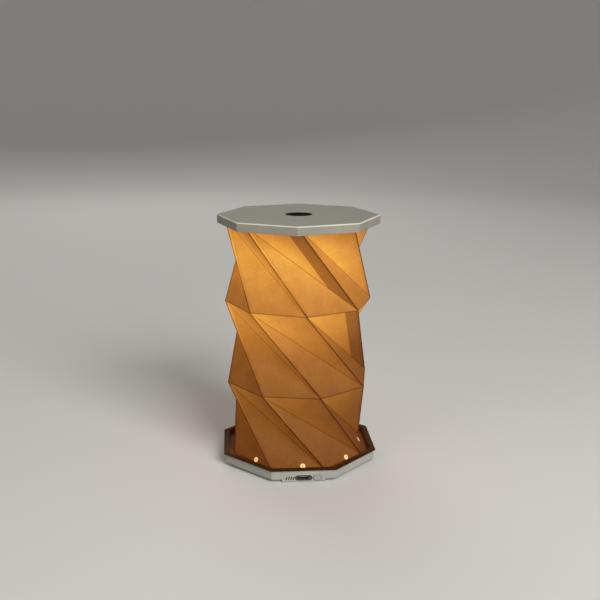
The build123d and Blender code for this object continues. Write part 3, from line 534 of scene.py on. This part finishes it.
def rise_in(point, facet):
    """How far up its storey a point is, from 0 to 1."""
    bottom, top = facet["span"]
    return (point.z - bottom) / (top - bottom)


def glow_at(point, facet, off):
    low, level = 0.0, FOOT_GLOW
    for high, next_level in GLOW_STEPS_UP:
        if point.z < high or high == GLOW_STEPS_UP[-1][0]:
            share = min(max((point.z - low) / (high - low), 0), 1)
            glow = level + (next_level - level) * share * share * (3 - 2 * share)
            break
        low, level = high, next_level
    if facet["hangs"]:
        glow *= 1 - HANGING_LOSS + HANGING_GAIN * off[0]
    else:
        glow *= 1 - STANDING_LOSS + (STANDING_LOSS + STANDING_GAIN) * rise_in(point, facet)
    flank = math.sin(math.radians(facet["faces"] - FLANK_AZIMUTH)) ** 4
    return glow * (1 - FLANK_LOSS[facet["hangs"]] * flank)


def off_line(point, ends):
    along = (ends[1] - ends[0]).normalized()
    return (point - ends[0]).cross(along).length


folds_layer = shade.loops.layers.float_vector.new("folds")
glow_layer = shade.loops.layers.float.new("glow")
seam_layer = shade.loops.layers.float.new("seam")
crest_highlight_layer = shade.loops.layers.float.new("crest")
known = {}
shade.verts.index_update()
for face in shade.faces:
    facet_number = face[facet_of]
    for loop in face.loops:
        if not facet_number:
            loop[folds_layer] = (NO_FOLD, NO_FOLD, NO_FOLD)
            loop[glow_layer] = FOOT_GLOW
            loop[seam_layer] = NO_FOLD
            loop[crest_highlight_layer] = NO_FOLD
            continue
        facet = facets[facet_number - 1]
        key = (facet_number, loop.vert.index)
        if key not in known:
            place = loop.vert.co
            off = [off_line(place, ends) for ends in facet["folds"]]
            known[key] = (off, glow_at(place, facet, off))
        off, glow = known[key]
        loop[folds_layer] = off
        loop[glow_layer] = glow
        loop[seam_layer] = off[0] if facet["seam"] else NO_FOLD
        # The crest attribute places a painted highlight along the ridge of each standing facet, narrowing towards its
        # foot.
        rise = max(rise_in(loop.vert.co, facet), CREST_FADE)
        loop[crest_highlight_layer] = NO_FOLD if facet["hangs"] else off[0] / rise

# The folds so far are the paper's outer side. They are turned to face inward first, because the
# thickness is added on the side they face.
bmesh.ops.reverse_faces(shade, faces=shade.faces)
bmesh.ops.solidify(shade, geom=shade.faces, thickness=PAPER)
mesh = bpy.data.meshes.new("folded_shade")
shade.to_mesh(mesh)
shade.free()
folded_shade = bpy.data.objects.new("folded_shade", mesh)
bpy.context.scene.collection.objects.link(folded_shade)

PAPER_COLOUR = (0.1, 0.048, 0.02)
GLOW_COLOURS = (
    (0.0, (0.0, 0.0, 0.0)),
    (0.1, (0.1, 0.02, 0.0)),
    (0.235, (0.235, 0.081, 0.01)),
    (0.4, (0.4, 0.144, 0.019)),
    (0.6, (0.6, 0.238, 0.037)),
    (0.78, (0.78, 0.352, 0.048)),
    (0.95, (0.95, 0.48, 0.072)),
)

# The painted shade along each crease, the seam's dimmer glow, the painted highlight on the crest, and
# how far off the fold each reaches. The ridge line's painted shade is patchy. The sheet has fine fibres
# and faint clouds.
RIDGE_LINE_REACH = (0.0004, 0.001)
RIDGE_LINE_SHADE_TONES = (0.18, 0.42)
RIDGE_SHADE_PATCH_SIZE = 0.013
RIDGE_SHADE_PATCH_RANGE = (0.35, 0.65)
RIDGE_SHADE_REACH = (0.0006, 0.004)
RIDGE_SHADE_TONE = 0.86
VALLEY_REACH = (0.0001, 0.0008)
VALLEY_SHADE_TONE = 0.66
LEVEL_REACH = (0.0001, 0.0009)
LEVEL_SHADE_TONE = 0.55
SEAM_REACH = (SEAM_WIDTH - 0.0003, SEAM_WIDTH + 0.0003)
SEAM_TONE = 0.5
CREST_HIGHLIGHT_REACH = (0.0013, 0.0036)
CREST_HIGHLIGHT_TONE = 1.45
FIBRE_SIZE = 0.0022
FIBRE_TONES = (0.96, 1.04)
CLOUD_SIZE = 0.016
CLOUD_TONES = (0.95, 1.05)

lit_paper = new_material("lit_paper", PAPER_COLOUR, roughness=0.75, Specular_IOR_Level=0.04)


def kept_on_mesh(name, output="Fac"):
    return add(lit_paper, "ShaderNodeAttribute", {"attribute_name": name}).outputs[output]


def times(*factors):
    product = factors[0]
    for factor in factors[1:]:
        product = reckon(lit_paper, "MULTIPLY", product, factor)
    return product


off_folds = add(lit_paper, "ShaderNodeSeparateXYZ", Vector=kept_on_mesh("folds", "Vector")).outputs
patchy_ridge_shade = spread(lit_paper, noise(lit_paper, RIDGE_SHADE_PATCH_SIZE, detail=2.0), RIDGE_SHADE_PATCH_RANGE, RIDGE_LINE_SHADE_TONES)
off_ridge_line = spread(lit_paper, off_folds["X"], RIDGE_LINE_REACH, (0.0, 1.0))
ridge_line_shade = add(lit_paper, "ShaderNodeMix", {"data_type": "FLOAT"}, Factor=off_ridge_line)
lit_paper.node_tree.links.new(patchy_ridge_shade, ridge_line_shade.inputs["A"])
ridge_line_shade.inputs["B"].default_value = 1.0
# Painted shade along the ridge, valley and level folds, on both the glow and the paper's colour.
crease_shade = times(
    ridge_line_shade.outputs["Result"],
    spread(lit_paper, off_folds["X"], RIDGE_SHADE_REACH, (RIDGE_SHADE_TONE, 1.0)),
    spread(lit_paper, off_folds["Y"], VALLEY_REACH, (VALLEY_SHADE_TONE, 1.0)),
    spread(lit_paper, off_folds["Z"], LEVEL_REACH, (LEVEL_SHADE_TONE, 1.0)),
)
double_paper = spread(lit_paper, kept_on_mesh("seam"), SEAM_REACH, (SEAM_TONE, 1.0))
# A painted highlight along the crest of each standing facet.
crest_highlight = spread(lit_paper, kept_on_mesh("crest"), CREST_HIGHLIGHT_REACH, (CREST_HIGHLIGHT_TONE, 1.0))
fibres = spread(lit_paper, noise(lit_paper, FIBRE_SIZE, detail=4.0), NOISE_RANGE, FIBRE_TONES)
clouds = spread(lit_paper, noise(lit_paper, CLOUD_SIZE, detail=2.0), NOISE_RANGE, CLOUD_TONES)
strength = times(kept_on_mesh("glow"), crease_shade, double_paper, crest_highlight, fibres, clouds)
ramp = add(lit_paper, "ShaderNodeValToRGB", Fac=strength)
stops = ramp.color_ramp.elements
while len(stops) < len(GLOW_COLOURS):
    stops.new(1.0)
for stop, (position, colour) in zip(stops, GLOW_COLOURS):
    stop.position = position
    stop.color = (*colour, 1)
feed(lit_paper, ramp.outputs["Color"], "Emission Color")
shader_of(lit_paper).inputs["Emission Strength"].default_value = 1.0
feed(lit_paper, scaled(lit_paper, PAPER_COLOUR, times(crease_shade, fibres, clouds)), "Base Color")
grain(lit_paper, size=0.0009, depth=0.00003)
mesh.materials.append(lit_paper)

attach(folded_shade, "shade")
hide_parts("paper_shade")
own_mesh(folded_shade)


# Eyelets: small moulded eyelets of clear amber plastic that pin the paper to the foot ring, one in
# the middle of each side. The light inside shows through them as bright dots.
EYELET_COLOUR = (0.8, 0.52, 0.2)
EYELET_GLOW = (1.0, 0.58, 0.24)
EYELET_FACING = (0.5, 0.85)
EYELET_STRENGTHS = (0.02, 0.72)

eyelet_plastic = finish(
    "eyelet_plastic", ["shade_eyelets"], EYELET_COLOUR, roughness=0.3, mottled={"size": 0.001, "amount": 0.08}
)
light_up(eyelet_plastic, EYELET_GLOW, EYELET_STRENGTHS[1])
eyelet_strength = spread(eyelet_plastic, outward(eyelet_plastic), EYELET_FACING, EYELET_STRENGTHS)
feed(eyelet_plastic, eyelet_strength, "Emission Strength")


# Lid: an octagonal lid in warm grey plastic, moulded like the tray, with a narrow bevel round its top.
# The folded shade's upper collar is clamped under it by a ring and four screws. A dark plated steel
# disc lies in the middle of its top.
# The lid's colour is the tray's plastic painted darker, as shade.
LID_SHADED_COLOUR = (0.36, 0.342, 0.285)
BEVEL_FACING = 0.707
BEVEL_HIGHLIGHT_TONE = 2.2
BEVEL_HIGHLIGHT_REACH = (0.15, 0.25)
DISC_COLOUR = (0.018, 0.017, 0.011)

lid_plastic = new_material("lid_plastic", LID_SHADED_COLOUR, roughness=0.5, Specular_IOR_Level=0.03)
lid_patches = mottle(lid_plastic, LID_SHADED_COLOUR, **MOULD_MOTTLE)
# The faces of the bevel round the top are painted lighter than the rest, as a highlight.
lid_facing = add(lid_plastic, "ShaderNodeTexCoord").outputs["Normal"]
faces_up = add(lid_plastic, "ShaderNodeSeparateXYZ", Vector=lid_facing).outputs["Z"]
off_bevel = reckon(lid_plastic, "ABSOLUTE", reckon(lid_plastic, "SUBTRACT", faces_up, BEVEL_FACING))
painted_bevel_highlight = spread(lid_plastic, off_bevel, BEVEL_HIGHLIGHT_REACH, (BEVEL_HIGHLIGHT_TONE, 1))
feed(lid_plastic, scaled(lid_plastic, lid_patches, painted_bevel_highlight), "Base Color")
grain(lid_plastic, **MOULD_GRAIN)
rough_spots(lid_plastic, **MOULD_ROUGHNESS)
coat("lid_shell", lid_plastic)
coat("lid_clamp_ring", ring_plastic)
coat("lid_screws", screw_steel)

finish(
    "disc_steel",
    ["lid_disc"],
    DISC_COLOUR,
    roughness=0.5,
    mottled={"size": 0.003, "amount": 0.12},
    roughened={"size": 0.003, "low": 0.34, "high": 0.5},
    Specular_IOR_Level=0.0,
)


# Floor, backdrop and lights: a pale floor that sweeps up into a round wall, under soft studio light.
# The camera sees a paler floor than the lamp does, so that the floor throws less light up at it.
FLOOR_SEEN = (0.86, 0.84, 0.8)
FLOOR_FELT = (0.5, 0.485, 0.46)
FLOOR_RADIUS = 1.9
SWEEP_RADIUS = 1.6
SWEEP_STEPS = 14
WALL_HEIGHT = 0.6
FLOOR_SEGMENTS = 96

sweep = bmesh.new()
rim = bmesh.ops.create_circle(sweep, cap_ends=True, segments=FLOOR_SEGMENTS, radius=FLOOR_RADIUS)["verts"]
edges = list(sweep.edges)
reach, level = FLOOR_RADIUS, 0.0
for step in range(1, SWEEP_STEPS + 2):
    lean = math.radians(90) * min(step / SWEEP_STEPS, 1)
    next_reach = FLOOR_RADIUS + SWEEP_RADIUS * math.sin(lean)
    next_level = SWEEP_RADIUS * (1 - math.cos(lean)) + (WALL_HEIGHT if step > SWEEP_STEPS else 0)
    raised = bmesh.ops.extrude_edge_only(sweep, edges=edges)["geom"]
    rim = [part for part in raised if isinstance(part, bmesh.types.BMVert)]
    edges = [part for part in raised if isinstance(part, bmesh.types.BMEdge) and all(end in rim for end in part.verts)]
    bmesh.ops.scale(sweep, verts=rim, vec=(next_reach / reach, next_reach / reach, 1))
    bmesh.ops.translate(sweep, verts=rim, vec=(0, 0, next_level - level))
    reach, level = next_reach, next_level
for face in sweep.faces:
    face.smooth = True
mesh = bpy.data.meshes.new("floor")
sweep.to_mesh(mesh)
sweep.free()
floor = bpy.data.objects.new("floor", mesh)
bpy.context.scene.collection.objects.link(floor)
floor_finish = new_material("floor_finish", FLOOR_SEEN, roughness=0.8, Specular_IOR_Level=0.1)
rays = add(floor_finish, "ShaderNodeLightPath").outputs
seen = rays["Is Camera Ray"]
for kind in ("Is Glossy Ray", "Is Transmission Ray"):
    seen = reckon(floor_finish, "MAXIMUM", seen, rays[kind])
feed(floor_finish, mixed(floor_finish, seen, FLOOR_FELT, FLOOR_SEEN), "Base Color")
mesh.materials.append(floor_finish)

# Where each softbox stands, how wide it is, and its power. All of them point at the lamp.
LIGHTS_AIM = (0, 0, 0.1)
SOFTBOXES = (
    ((0.75, -1.45, 1.1), 1.0, 28.0),
    ((-1.35, -1.15, 0.45), 1.2, 5.5),
    ((-0.3, 1.65, 1.25), 1.4, 8.0),
)
for number, (place, width, power) in enumerate(SOFTBOXES):
    lamp = bpy.data.lights.new(f"softbox_{number}", "AREA")
    lamp.size = width
    lamp.energy = power
    softbox = bpy.data.objects.new(f"softbox_{number}", lamp)
    softbox.location = place
    softbox.rotation_euler = (Vector(LIGHTS_AIM) - Vector(place)).to_track_quat("-Z", "Y").to_euler()
    bpy.context.scene.collection.objects.link(softbox)

WORLD_COLOUR = (0.8, 0.79, 0.77)
WORLD_STRENGTH = 0.18
world = bpy.data.worlds.new("world")
world.use_nodes = True
world.node_tree.nodes["Background"].inputs["Color"].default_value = (*WORLD_COLOUR, 1)
world.node_tree.nodes["Background"].inputs["Strength"].default_value = WORLD_STRENGTH
bpy.context.scene.world = world
bpy.context.scene.view_settings.view_transform = "Standard"
